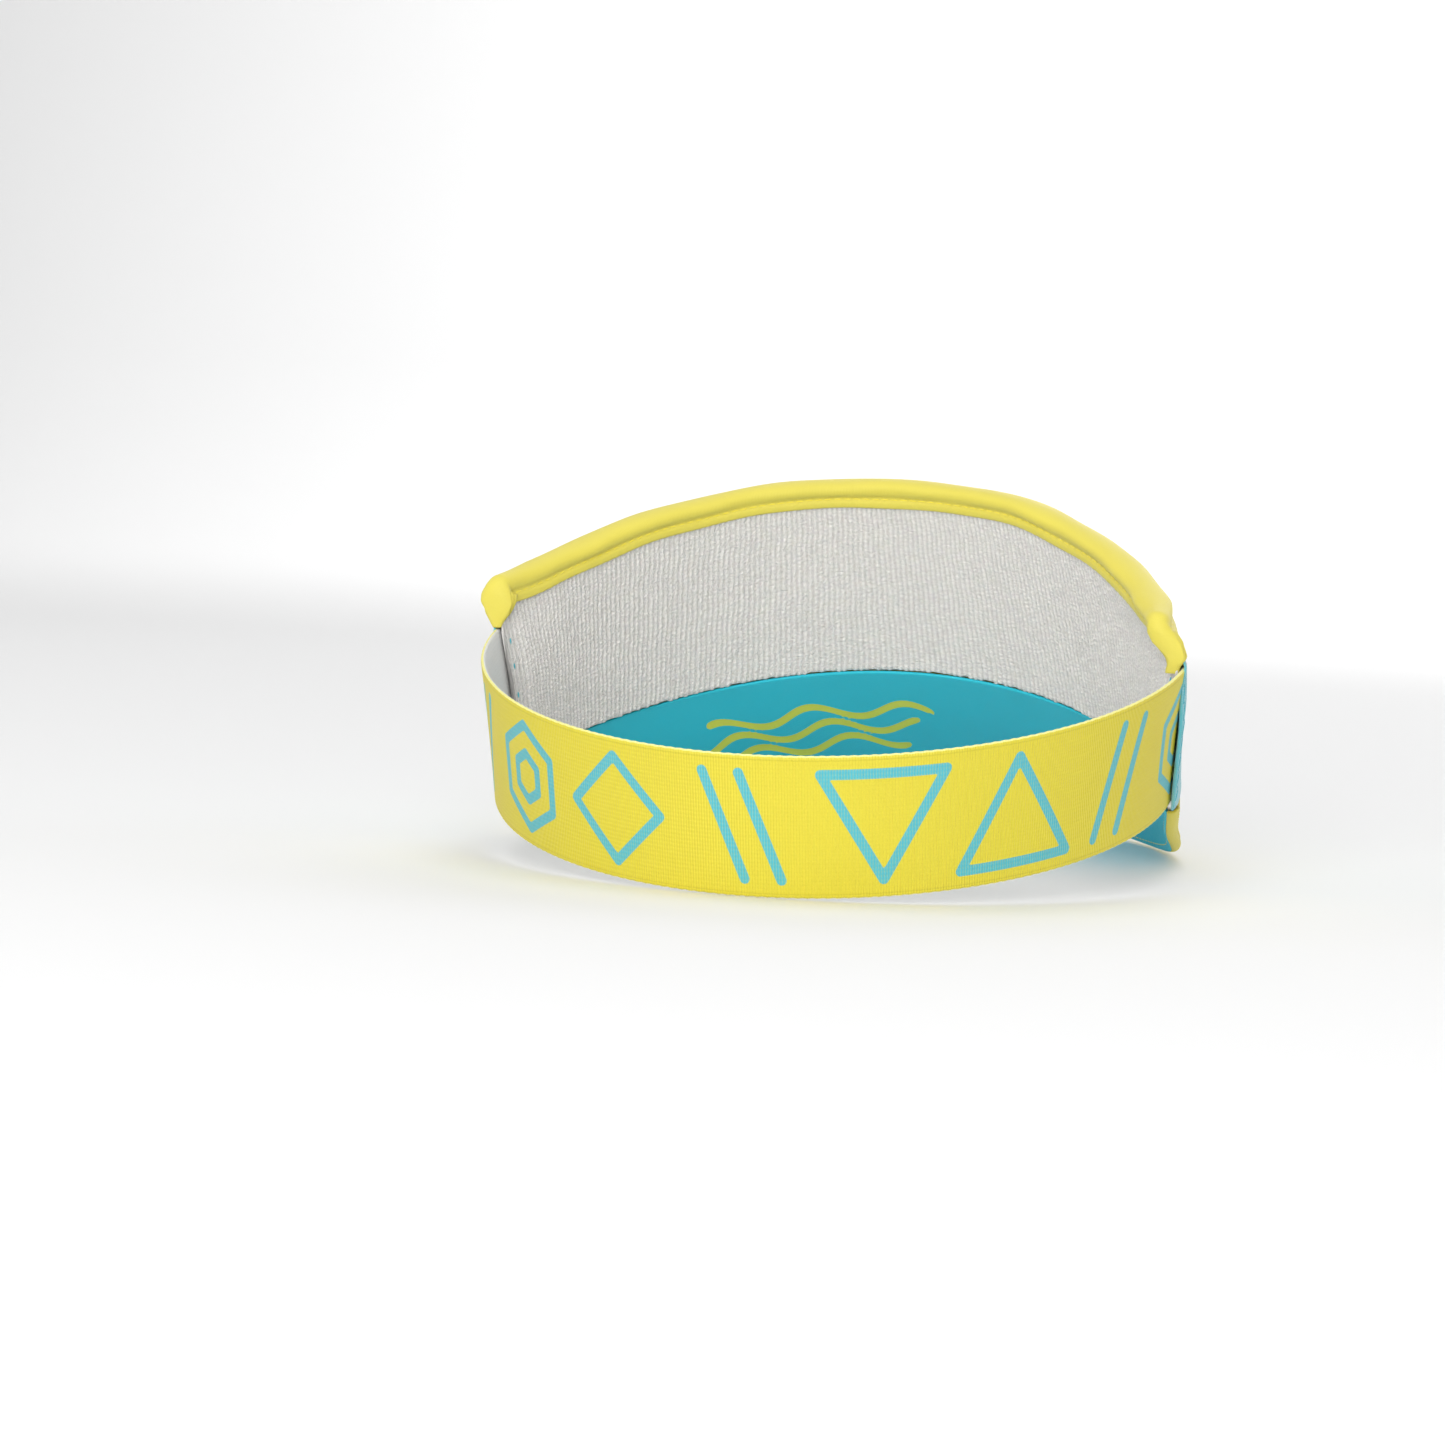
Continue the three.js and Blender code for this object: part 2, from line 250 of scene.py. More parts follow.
def front_of_ring(turn, height, offset):
    front = np.maximum(np.sin(turn), 0)
    low = lower_edge(turn)
    share = (height - low) / (top_edge(turn) - low)
    low_half = half_width_at(0)
    top_half = half_width_at(crown_side_height) * (1 - crown_front_narrowing * front)
    lean = crown_front_lean * front * (1 + crown_lean_bow * (1 - front))
    out_x = np.cos(turn) / ring_half_width
    out_y = np.sin(turn) / ring_front_depth
    out_length = np.hypot(out_x, out_y)
    drift = side_drift(turn, height)
    return np.stack([
        (low_half + (top_half - low_half) * share) * np.cos(turn) + offset * out_x / out_length + drift,
        ring_front_depth * np.sin(turn) - lean * share + offset * out_y / out_length,
        height + 0 * turn,
    ], -1)


def strap_place(turn, height, offset):
    """The strap's course: round the back, and a tuck's length into the crown at both ends."""
    back = back_of_ring(np.clip(turn, -math.pi, 0), height, offset)
    front = front_of_ring(np.where(turn < -math.pi, turn + 2 * math.pi, turn), height, offset)
    behind = (turn >= -math.pi) & (turn <= 0)
    return np.where(behind[..., None], back, front)


def rounded_strip(low, high, outer, inner, outer_rows, inner_rows):
    """Cross-section of a flat strip with round edges, as heights and offsets, closed on itself:
    up the outer face, over the top, down the inner face and under the bottom."""
    radius = (outer - inner) / 2
    middle = (outer + inner) / 2
    arc = np.linspace(0, math.pi, edge_steps + 1)
    up_outer = np.linspace(low + radius, high - radius, outer_rows + 1)
    down_inner = np.linspace(high - radius, low + radius, inner_rows + 1)
    heights = [up_outer, high - radius + radius * np.sin(arc[1:-1]), down_inner,
               low + radius - radius * np.sin(arc[1:-1]), up_outer[:1]]
    offsets = [0 * up_outer + outer, middle + radius * np.cos(arc[1:-1]), 0 * down_inner + inner,
               middle - radius * np.cos(arc[1:-1]), [outer]]
    return np.stack([np.concatenate(heights), np.concatenate(offsets)], -1)


def swept_cloth(name, stations, profile, place, marks=None):
    """A closed length of cloth: a grid with a column for each station along the piece and a row for
    each point of its cross-section, whose last row meets its first. place(station, height, offset)
    puts each point in the ring. The UV map is in millimetres. marks are named numbers by point."""
    columns, rows = len(stations) - 1, len(profile) - 1
    bpy.ops.mesh.primitive_grid_add(x_subdivisions=columns, y_subdivisions=rows, size=2)
    piece = bpy.context.object
    piece.name = name
    mesh = piece.data
    flat = np.empty(len(mesh.vertices) * 3)
    mesh.vertices.foreach_get("co", flat)
    column = np.rint((flat[0::3] + 1) / 2 * columns).astype(int)
    row = np.rint((flat[1::3] + 1) / 2 * rows).astype(int)
    points = place(stations[column], profile[row, 0], profile[row, 1])
    mesh.vertices.foreach_set("co", in_row(points).ravel())

    grid = np.empty((columns + 1, rows + 1, 3))
    grid[column, row] = points
    middle = grid[:, rows // 4]
    along = np.concatenate([[0], np.cumsum(np.linalg.norm(np.diff(middle, axis=0), axis=1))])
    middle = grid[columns // 2]
    around = np.concatenate([[0], np.cumsum(np.linalg.norm(np.diff(middle, axis=0), axis=1))])
    corner = np.empty(len(mesh.loops), int)
    mesh.loops.foreach_get("vertex_index", corner)
    spread = np.stack([along[column[corner]], around[row[corner]]], -1)
    mesh.uv_layers[0].data.foreach_set("uv", spread.ravel())
    for mark, values in (marks or {}).items():
        layer = mesh.attributes.new(mark, "FLOAT", "POINT")
        layer.data.foreach_set("value", values(column, row).astype(np.float32))

    bpy.ops.object.mode_set(mode="EDIT")
    bpy.ops.mesh.select_all(action="SELECT")
    bpy.ops.mesh.remove_doubles(threshold=1e-6)
    bpy.ops.mesh.fill_holes(sides=0)
    bpy.ops.mesh.select_all(action="SELECT")
    bpy.ops.mesh.normals_make_consistent(inside=False)
    bpy.ops.object.mode_set(mode="OBJECT")
    bpy.ops.object.location_clear()
    bpy.ops.object.shade_smooth()
    return piece


def outlined_polygon(sides, turned):
    """Corners of a regular polygon of the motif's height, first corner repeated at the end."""
    angles = turned + np.linspace(0, 2 * math.pi, sides + 1)
    corners = np.stack([np.cos(angles), np.sin(angles)], -1)
    corners -= (corners.max(0) + corners.min(0)) / 2
    return corners * motif_height / np.ptp(corners[:, 1])


def distance_to_line(points, line):
    """Shortest distance from each point to a line of several straight lengths."""
    nearest = np.full(len(points), np.inf)
    for start, end in zip(line[:-1], line[1:]):
        run = end - start
        share = np.clip((points - start) @ run / (run @ run), 0, 1)
        gap = np.linalg.norm(points - start - share[:, None] * run, axis=1)
        nearest = np.minimum(nearest, gap)
    return nearest


slash = np.array([[-slash_lean, -motif_height / 2], [slash_lean, motif_height / 2]])
backslash = slash * [-1, 1]
hexagon = outlined_polygon(6, math.pi / 6)
motif_shapes = [
    [outlined_polygon(3, math.pi / 2)],
    [slash - [slash_gap, 0], slash + [slash_gap, 0]],
    [hexagon, hexagon * inner_hexagon],
    [outlined_polygon(4, 0)],
    [backslash - [slash_gap, 0], backslash + [slash_gap, 0]],
    [outlined_polygon(3, -math.pi / 2)],
]
strap_turns = np.linspace(-math.pi, 0, strap_columns + 1)
tuck_turn = strap_tuck / ring_front_depth
strap_turns = np.concatenate([[-math.pi - tuck_turn], strap_turns, [tuck_turn]])
strap_profile = rounded_strip(0, strap_height, 0, -strap_thickness, strap_outer_rows, strap_inner_rows)
strap_length = math.pi * (ring_half_width + ring_back_depth) / 2


def strap_print(column, row):
    """How far each point is outside the printed strokes, negative inside them."""
    along = strap_turns[column] / math.pi * strap_length + strap_length / 2
    height = strap_profile[row, 0] - strap_height / 2
    points = np.stack([along, height], -1)
    nearest = np.full(len(points), np.inf)
    for place in range(motif_count):
        middle = np.array([(place - (motif_count - 1) / 2) * motif_pitch, 0.0])
        for line in motif_shapes[place % len(motif_shapes)]:
            nearest = np.minimum(nearest, distance_to_line(points, line + middle))
    on_outer_face = strap_profile[row, 1] > -0.2 * strap_thickness
    return np.where(on_outer_face, nearest - motif_stroke / 2, motif_pitch)


def strap_course(turn, height, offset):
    scallop = selvedge_scallop * np.sin(2 * math.pi * turn * ring_half_width / selvedge_pitch)
    near_edge = np.clip(1 - height / 2, 0, 1) + np.clip(1 - (strap_height - height) / 2, 0, 1)
    return strap_place(turn, height + scallop * near_edge, offset)


strap = swept_cloth("elastic_strap", strap_turns, strap_profile, strap_course, {
    "print_edge": strap_print,
    "inner_face": lambda column, row: np.clip(-strap_profile[row, 1] / strap_thickness, 0, 1),
    "strap_height": lambda column, row: strap_profile[row, 0],
})


def dyed(red, green, blue):
    """A shade given as display values from 0 to 255."""
    linear = [(c / 255 / 12.92) if c <= 10 else ((c / 255 + 0.055) / 1.055) ** 2.4
              for c in (red, green, blue)]
    return (*linear, 1)


def cloth_material(name, shade, roughness, sheen, gloss=0.25):
    """An empty cloth: one Principled shader with its plain values set on its own sockets."""
    material = bpy.data.materials.new(name)
    material.use_nodes = True
    shader = material.node_tree.nodes["Principled BSDF"]
    shader.inputs["Base Color"].default_value = shade
    shader.inputs["Roughness"].default_value = roughness
    shader.inputs["Specular IOR Level"].default_value = gloss
    shader.inputs["Sheen Weight"].default_value = sheen
    shader.inputs["Sheen Roughness"].default_value = 0.5
    return material


def new_effect(name, inputs, outputs):
    """A shader node group with named sockets. An input's usual value tells its kind: a number, a
    colour, or None for a map. An output is a number, unless it is called Colour."""
    effect = bpy.data.node_groups.new(name, "ShaderNodeTree")
    for label, usual in inputs.items():
        kind = "Vector" if usual is None else "Color" if isinstance(usual, tuple) else "Float"
        socket = effect.interface.new_socket(label, in_out="INPUT", socket_type="NodeSocket" + kind)
        if usual is not None:
            socket.default_value = usual
    for label in outputs:
        kind = "NodeSocketColor" if label == "Colour" else "NodeSocketFloat"
        effect.interface.new_socket(label, in_out="OUTPUT", socket_type=kind)
    return effect, effect.nodes.new("NodeGroupInput"), effect.nodes.new("NodeGroupOutput")


def feed(tree, socket, value):
    """Links a socket to another one, or sets it to a number or colour."""
    if isinstance(value, bpy.types.NodeSocket):
        tree.links.new(value, socket)
    else:
        socket.default_value = value


def worked(tree, operation, *values, clamp=False):
    """A Math node fed with numbers or sockets; gives back its result."""
    node = tree.nodes.new("ShaderNodeMath")
    node.operation = operation
    node.use_clamp = clamp
    for socket, value in zip(node.inputs, values):
        feed(tree, socket, value)
    return node.outputs[0]


def mixed(tree, share, first, second):
    """A Mix node for colours; share, first and second are colours, numbers or sockets."""
    node = tree.nodes.new("ShaderNodeMix")
    node.data_type = "RGBA"
    for socket, value in ((0, share), (6, first), (7, second)):
        feed(tree, node.inputs[socket], value)
    return node.outputs[2]


def placed(material, effect, **values):
    """An effect put into a material, with its values and links set; gives back its outputs."""
    node = material.node_tree.nodes.new("ShaderNodeGroup")
    node.node_tree = effect
    for label, value in values.items():
        feed(material.node_tree, node.inputs[label.replace("_", " ")], value)
    return node.outputs


def surface_mark(material, name):
    node = material.node_tree.nodes.new("ShaderNodeAttribute")
    node.attribute_name = name
    return node.outputs["Fac"]


def cloth_map(material):
    """The piece's own UV map, in millimetres along and across the cloth."""
    return material.node_tree.nodes.new("ShaderNodeTexCoord").outputs["UV"]


def finish_cloth(material, colour, height, depth):
    """Joins a colour and a height, in shares of depth millimetres, to the shader."""
    tree = material.node_tree
    shader = tree.nodes["Principled BSDF"]
    tree.links.new(colour, shader.inputs["Base Color"])
    bump = tree.nodes.new("ShaderNodeBump")
    bump.inputs["Distance"].default_value = depth / 1000
    tree.links.new(height, bump.inputs["Height"])
    tree.links.new(bump.outputs["Normal"], shader.inputs["Normal"])


def noise_over(tree, place, scale, detail):
    """A noise texture over a map; gives back its outputs."""
    node = tree.nodes.new("ShaderNodeTexNoise")
    node.inputs["Scale"].default_value = scale
    node.inputs["Detail"].default_value = detail
    tree.links.new(place, node.inputs["Vector"])
    return node.outputs


# Woven yarns: warp ridges across and weft ridges along, each yarn a little uneven
weave, given, made = new_effect("woven_yarns", {
    "Map": None, "Warp Pitch": 0.35, "Weft Pitch": 0.35, "Weft Share": 0.5, "Unevenness": 0.3,
}, ("Height", "Slub"))
apart = weave.nodes.new("ShaderNodeSeparateXYZ")
weave.links.new(given.outputs["Map"], apart.inputs[0])
ridges = []
for axis, pitch in ((0, "Warp Pitch"), (1, "Weft Pitch")):
    turns = worked(weave, "DIVIDE", apart.outputs[axis], given.outputs[pitch])
    wave = worked(weave, "COSINE", worked(weave, "MULTIPLY", turns, 2 * math.pi))
    ridges.append(worked(weave, "MULTIPLY_ADD", wave, 0.5, 0.5))
slub = noise_over(weave, given.outputs["Map"], 1.6, 3)
weft = worked(weave, "MULTIPLY", ridges[1], given.outputs["Weft Share"])
warp = worked(weave, "MULTIPLY", ridges[0], worked(weave, "SUBTRACT", 1.0, given.outputs["Weft Share"]))
uneven = worked(weave, "MULTIPLY", slub["Fac"], given.outputs["Unevenness"])
weave.links.new(worked(weave, "ADD", worked(weave, "ADD", weft, warp), uneven), made.inputs["Height"])
weave.links.new(slub["Fac"], made.inputs["Slub"])

# Shading that a dyed cloth has by itself: slow patches and fine flecks, as a factor round 1
mottle, given, made = new_effect("dye_mottle", {
    "Map": None, "Colour": (0.5, 0.5, 0.5, 1), "Patches": 0.05, "Flecks": 0.08,
}, ("Colour",))
shifts = []
for label, scale, detail in (("Patches", 0.04, 2), ("Flecks", 2.2, 4)):
    noise = noise_over(mottle, given.outputs["Map"], scale, detail)
    centred = worked(mottle, "SUBTRACT", noise["Fac"], 0.5)
    shifts.append(worked(mottle, "MULTIPLY", centred, given.outputs[label]))
shift = worked(mottle, "ADD", worked(mottle, "ADD", shifts[0], shifts[1]), 1.0)
scaled = mottle.nodes.new("ShaderNodeVectorMath")
scaled.operation = "SCALE"
mottle.links.new(given.outputs["Colour"], scaled.inputs[0])
mottle.links.new(shift, scaled.inputs["Scale"])
mottle.links.new(scaled.outputs["Vector"], made.inputs["Colour"])

# Print: 1 inside the printed strokes and 0 outside, with an edge a tenth of a millimetre wide
screen_print, given, made = new_effect("screen_print", {"Edge": 1.0, "Softness": 0.12}, ("Ink",))
share = worked(screen_print, "DIVIDE", given.outputs["Edge"], given.outputs["Softness"])
screen_print.links.new(
    worked(screen_print, "SUBTRACT", 0.5, share, clamp=True), made.inputs["Ink"])


def dyed_weave(name, shade, roughness, sheen, gloss=0.25, patches=0.06, flecks=0.06, **yarn):
    """A woven cloth with its dye and its yarns; gives back the material, its colour and its yarns."""
    material = cloth_material(name, shade, roughness, sheen, gloss)
    place = cloth_map(material)
    yarns = placed(material, weave, Map=place, **yarn)
    dye = placed(material, mottle, Map=place, Colour=shade, Patches=patches, Flecks=flecks)
    return material, dye["Colour"], yarns


elastic_yellow = dyed(219, 204, 54)
elastic_ink = dyed(76, 182, 198)
elastic_white = dyed(232, 232, 230)
# Painted highlight: a pale yellow painted along both edges, standing in for light on the edge's
# thickness.
elastic_edge_highlight = dyed(246, 240, 150)
elastic_line = dyed(196, 182, 40)
elastic, elastic_dye, elastic_yarns = dyed_weave(
    "woven_elastic", elastic_yellow, 0.5, 0.0, 0.5, patches=0.05, flecks=0.16,
    Warp_Pitch=0.66, Weft_Pitch=1.05, Weft_Share=0.3, Unevenness=0.35)
tree = elastic.node_tree
ink = placed(elastic, screen_print, Edge=surface_mark(elastic, "print_edge"), Softness=0.14)["Ink"]
ridge_top = worked(tree, "MULTIPLY_ADD", elastic_yarns["Height"], 0.35, 0.72, clamp=True)
inked = mixed(tree, worked(tree, "MULTIPLY", ink, ridge_top), elastic_dye, elastic_ink)
up_strap = surface_mark(elastic, "strap_height")
from_edge = worked(tree, "MINIMUM", up_strap, worked(tree, "SUBTRACT", strap_height, up_strap))
from_line = worked(tree, "ABSOLUTE", worked(tree, "SUBTRACT", from_edge, selvedge_line_inset))
in_line = worked(tree, "LESS_THAN", from_line, selvedge_line_half)
lined = mixed(tree, worked(tree, "MULTIPLY", in_line, 0.45), inked, elastic_line)
# Painted highlight: the outermost tenths of a millimetre at both edges are painted pale.
edge_highlighted = mixed(tree, worked(tree, "LESS_THAN", from_edge, edge_highlight_width), lined, elastic_edge_highlight)
inside = worked(tree, "GREATER_THAN", surface_mark(elastic, "inner_face"), 0.62)
finish_cloth(elastic, mixed(tree, inside, edge_highlighted, elastic_white), elastic_yarns["Height"], 0.14)
strap.data.materials.append(elastic)

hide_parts("elastic_band", "elastic_end_left", "elastic_end_right")
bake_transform(strap)

# ---------------------------------------------------------------------------------------------
# Crown shell and interlining. The shell is one layer of teal woven polyester whose back edges are
# turned over the strap's ends. A thin foam keeps the front upright, and hides inside.
shell_inner = 0.9
shell_outer = 1.7
terry_outer = -2.4
terry_inner = -4.6
wall_middle = -0.75
interlining_thickness = 1.6
interlining_margin = 6.0
interlining_end = math.radians(12)
interlining_columns = 60
layer_rows = 12
wall_top_drop = 3.8
wall_below_strap = 0.6
wall_nominal = 50.0
wall_stack_middle = -1.45
wall_end_start = -1.0
wall_end_rise = 5.5
wall_pinch_length = 8.0
wall_seam_press = 0.5
wall_seam_middle = -1.3
wall_end_narrowing = 0.42
shell_seam_press = 0.2
shell_reach = 1.3
shell_ripple = 0.22
shell_lift = 0.3
shell_end_lift = -1.1
shell_columns = 260
shell_rows = 44


def turn_at(forward):
    return math.asin(forward / ring_front_depth)


def wavy(place, seed, lengths):
    """A slow unevenness between -1 and 1 along a place in millimetres, from a few wavelengths."""
    chance = np.random.default_rng(seed)
    phases = chance.uniform(0, 2 * math.pi, len(lengths))
    waves = [np.sin(2 * math.pi * place / length + phase) for length, phase in zip(lengths, phases)]
    return sum(waves) / len(lengths)


def forward_of_seam(turn):
    return ring_front_depth * np.sin(turn)


def wall_top(turn):
    """The layers' top edge: inside the binding, and cut down slantwise to the strap at both ends."""
    forward = np.clip((forward_of_seam(turn) - wall_end_start) / wall_end_rise, 0, 1)
    low = strap_height - wall_below_strap
    return low + (top_edge(turn) - wall_top_drop - low) * forward


def wall_layer(lift, ripple=0.0, seed=1, front_lift=0.0, end_lift=0.0):
    """The course of one layer of the crown's wall, with cross-section heights from 0 to nominal."""
    def course(turn, height, offset):
        low = lower_edge(turn) + lift + front_lift * np.maximum(np.sin(turn), 0)
        low = low + end_lift * (1 - smooth(forward_of_seam(turn), 3, 12))
        risen = low + height / wall_nominal * (wall_top(turn) - low)
        seam_press = wall_seam_press * (1 - smooth(forward_of_seam(turn), 0, wall_pinch_length))
        shell_press = shell_seam_press * (1 - smooth(forward_of_seam(turn), -2, 4))
        lining_offset = offset + seam_press * (wall_seam_middle - offset)
        pressed = np.where(offset < -1, lining_offset, offset - shell_press)
        belly = np.sin(math.pi * np.clip(height / wall_nominal, 0, 1))
        near_end = (1 - smooth(forward_of_seam(turn), 5, 24)) * smooth(height, 28, 44)
        narrow = 1 - wall_end_narrowing * near_end
        pressed = wall_stack_middle + (pressed - wall_stack_middle) * narrow
        wave = ripple * belly * wavy(turn * ring_half_width + 0.25 * height, seed, (23, 37, 71))
        return front_of_ring(turn, risen, pressed + wave)
    return course


def front_turns(start, count):
    return np.linspace(start, math.pi - start, count + 1)


interlining_profile = rounded_strip(
    0, wall_nominal, wall_middle + interlining_thickness / 2, wall_middle - interlining_thickness / 2,
    layer_rows, layer_rows)
interlining = swept_cloth("crown_interlining_foam", front_turns(interlining_end, interlining_columns),
                          interlining_profile, wall_layer(interlining_margin))
foam_white = dyed(238, 238, 234)
foam, foam_dye, foam_cells = dyed_weave(
    "interlining_foam", foam_white, 0.9, 0.1, patches=0.02, flecks=0.1,
    Warp_Pitch=0.9, Weft_Pitch=0.9, Unevenness=1.0)
finish_cloth(foam, foam_dye, foam_cells["Slub"], 0.3)
interlining.data.materials.append(foam)
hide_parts("crown_interlining")
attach(interlining, "crown")

shell_profile = rounded_strip(0, wall_nominal, shell_outer, shell_inner, shell_rows, layer_rows)
shell_course = wall_layer(shell_lift, shell_ripple, 3, end_lift=shell_end_lift)
shell_turns = front_turns(turn_at(-shell_reach), shell_columns)
shell = swept_cloth("crown_shell_cloth", shell_turns, shell_profile, shell_course)
shell_teal = dyed(96, 192, 203)
fine_yarn = {"Warp_Pitch": 0.32, "Weft_Pitch": 0.32, "Unevenness": 0.4}
shell_cloth, shell_dye, shell_yarns = dyed_weave(
    "crown_fabric", shell_teal, 0.55, 0.7, flecks=0.08, **fine_yarn)
finish_cloth(shell_cloth, shell_dye, shell_yarns["Height"], 0.07)
shell.data.materials.append(shell_cloth)
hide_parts("crown_shell")
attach(shell, "crown")

# ---------------------------------------------------------------------------------------------
# Terry sweatband. Grey looped towelling lines the whole front. Its loops stand in upright ribs, and
# its lower edge is folded over the bill's seam, so loops stick out below it in a ragged line.
terry_loop = 1.25
terry_pile = 0.55
terry_reach = 1.0
terry_ribs = 168
terry_rib_columns = 4
terry_rows = 112
terry_rag = 0.55
terry_fray = 0.45
terry_body = 0.3
terry_fold = 1.6
terry_lift = 0.4
terry_front_lift = -1.0


def scatter(first, second):
    """A number between 0 and 1 that looks like chance, and is the same for the same place."""
    return np.modf(np.abs(np.sin(first * 12.9898 + second * 78.233)) * 43758.5453)[0]


def terry_loops(turn, height):
    """How far the pile stands out at a place, from 0 in the furrows to about 1 on a tall loop."""
    rib_place = (turn / math.pi) * terry_ribs + 0.12 * wavy(height, 5, (9, 17))
    rib = np.floor(rib_place)
    ridge = 0.5 - 0.5 * np.cos(2 * math.pi * rib_place)
    loop_place = height / terry_loop + scatter(rib, 3.0)
    loop = 0.5 - 0.5 * np.cos(2 * math.pi * loop_place)
    tall = 0.65 + 0.5 * scatter(rib, np.floor(loop_place))
    return rib, ridge, ridge * (0.5 + 0.5 * loop) * tall


def terry_course(turn, height, offset):
    thickness = terry_outer - terry_inner
    on_face = np.clip((terry_outer - 0.5 * thickness - offset) / (0.5 * thickness), 0, 1)
    rib, ridge, stand = terry_loops(turn, height)
    pile = terry_pile * (stand - 0.35)
    fold = np.clip(1 - height / terry_fold, 0, 1)
    rag = terry_rag * fold * (scatter(rib, 9.0) - 0.35) * (0.3 + ridge)
    at_end = 1 - smooth(forward_of_seam(turn), -0.9, 1.2)
    fray = terry_fray * (scatter(np.round(height * 1.7), 4.0) - 0.3) * at_end
    turn = turn + np.sign(np.cos(turn)) * fray / ring_front_depth
    slow = wavy(turn * ring_half_width, 8, (31, 47, 90))
    body = terry_body * slow * np.sin(math.pi * height / wall_nominal)
    raised = offset - (pile + body) * on_face - 0.25 * fold * on_face
    return wall_layer(terry_lift, front_lift=terry_front_lift)(turn, height - rag, raised)


terry_profile = rounded_strip(0, wall_nominal, terry_outer, terry_inner, 8, terry_rows)
terry_turns = front_turns(turn_at(-terry_reach), terry_ribs * terry_rib_columns)
# The pile mark also darkens the towelling's colour in its furrows: painted shade.
terry = swept_cloth("terry_sweatband_lining", terry_turns, terry_profile, terry_course, {
    "pile": lambda column, row: terry_loops(terry_turns[column], terry_profile[row, 0])[2],
})
# terry_grey is the towelling's own colour; terry_shadow is painted shade for its furrows and hollows.
terry_grey = dyed(246, 243, 238)
terry_shadow = dyed(184, 179, 175)
towelling = cloth_material("terry_towelling", terry_grey, 0.95, 0.5)

# Towelling loops: fine curls over the ribs, with painted shade in the hollows between ribs and curls,
# and faint stray tints
curls, given, made = new_effect("towelling_curls", {
    "Map": None, "Loop Pitch": 1.2, "Pile": 0.5, "Pale": (0.7, 0.7, 0.7, 1),
    "Hollow": (0.4, 0.4, 0.4, 1), "Stray Tint": 0.3,
}, ("Colour", "Height"))
cell = curls.nodes.new("ShaderNodeTexVoronoi")
curls.links.new(given.outputs["Map"], cell.inputs["Vector"])
curls.links.new(worked(curls, "DIVIDE", 1.9, given.outputs["Loop Pitch"]), cell.inputs["Scale"])
fuzz = noise_over(curls, given.outputs["Map"], 3.5, 5)
dome = worked(curls, "SUBTRACT", 1.0, cell.outputs["Distance"], clamp=True)
curls.links.new(worked(curls, "MULTIPLY_ADD", fuzz["Fac"], 0.9, dome), made.inputs["Height"])
# Painted shade: the colour falls from pale to the shadow grey where the pile and each curl's dome stand
# low; the fuzz noise adds the towelling's own uneven tone.
stood = worked(curls, "MULTIPLY_ADD", given.outputs["Pile"], 0.75, worked(curls, "MULTIPLY", dome, 0.2))
depth = worked(curls, "MULTIPLY_ADD", fuzz["Fac"], 0.75, stood, clamp=True)
shaded_greys = mixed(curls, depth, given.outputs["Hollow"], given.outputs["Pale"])
stray = noise_over(curls, given.outputs["Map"], 0.35, 3)
tinted = curls.nodes.new("ShaderNodeMix")
tinted.data_type = "RGBA"
tinted.blend_type = "OVERLAY"
curls.links.new(worked(curls, "MULTIPLY", given.outputs["Stray Tint"], 0.5), tinted.inputs[0])
curls.links.new(shaded_greys, tinted.inputs[6])
curls.links.new(stray["Color"], tinted.inputs[7])
curls.links.new(tinted.outputs[2], made.inputs["Colour"])

# Painted shade from the pile mark and terry_shadow goes into the towelling's colour here.
loops = placed(towelling, curls, Map=cloth_map(towelling), Loop_Pitch=terry_loop, Pale=terry_grey,
               Hollow=terry_shadow, Stray_Tint=0.22, Pile=surface_mark(towelling, "pile"))
finish_cloth(towelling, loops["Colour"], loops["Height"], 0.35)
terry.data.materials.append(towelling)
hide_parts("terry_sweatband")
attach(terry, "crown")

# ---------------------------------------------------------------------------------------------
# Top binding. A yellow stretch tape folded over the crown's top edge and sewn through both legs. It
# puffs into a soft roll above the stitches, and its ends are folded down into the side seams.
tape_thickness = 0.55
roll_half_width = 4.05
roll_half_height = 2.35
roll_crown = 2.55
roll_lowest = math.radians(-34)
crease_depth = 4.75
crease_width = 3.3
hem_width = 3.85
hem_depth = 6.9
binding_corner = 5.0
binding_setback = 1.0
binding_tip_height = 35.4
binding_pitch = 2.6
dimple = 0.45
binding_columns = 620
binding_sway = 0.5
binding_plumpness = 0.11
right_tip_width = 0.42
right_tip_shift = -1.75
right_tip_shift_length = 3.6
right_tip_drop = 1.6
left_tip_shift = 0.8
left_tip_shift_length = 5.5
pleat_depth = 0.75
pleat_width = 0.42

# The tape's width by distance from its end, as a share, and its pleats there: how deep each lies,
# how it drifts along the tape and how far it reaches
end_widths = np.array([
    [0.00, 1.50, 3.50, 6.50, 8.50, 11.0, 13.0, 16.0, 20.0, 28.0],
    [0.25, 0.42, 0.72, 0.95, 0.90, 0.72, 0.66, 0.70, 0.80, 1.00],
])
end_pleats = ((1.5, 0.10, 15), (3.2, -0.07, 11), (4.6, -0.02, 18))

